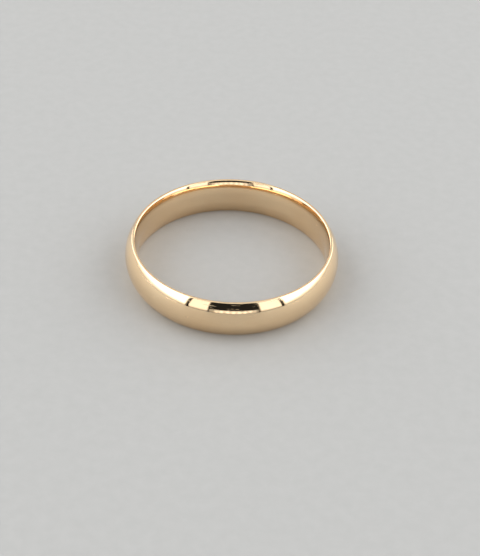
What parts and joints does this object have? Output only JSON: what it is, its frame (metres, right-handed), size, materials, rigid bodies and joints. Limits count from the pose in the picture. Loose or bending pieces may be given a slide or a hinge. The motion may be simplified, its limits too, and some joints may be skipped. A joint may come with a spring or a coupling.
{
  "type": "wedding band",
  "caption": "Plain yellow-gold wedding band: a seamless ring, highly domed outside, comfort-curved inside, with softly rounded side edges",
  "frame": {"origin": "centre of the ring on the plane it lies on, below the middle of the bore", "axes": "+Z along the ring's axis, up when the band lies flat; +X and +Y are equivalent, as the band is a body of revolution"},
  "size_m": [0.0216, 0.0216, 0.004],
  "materials": {
    "yellow_gold": "polished"
  },
  "bodies": {
    "root": {"band": "yellow_gold"}
  },
  "joints": []
}
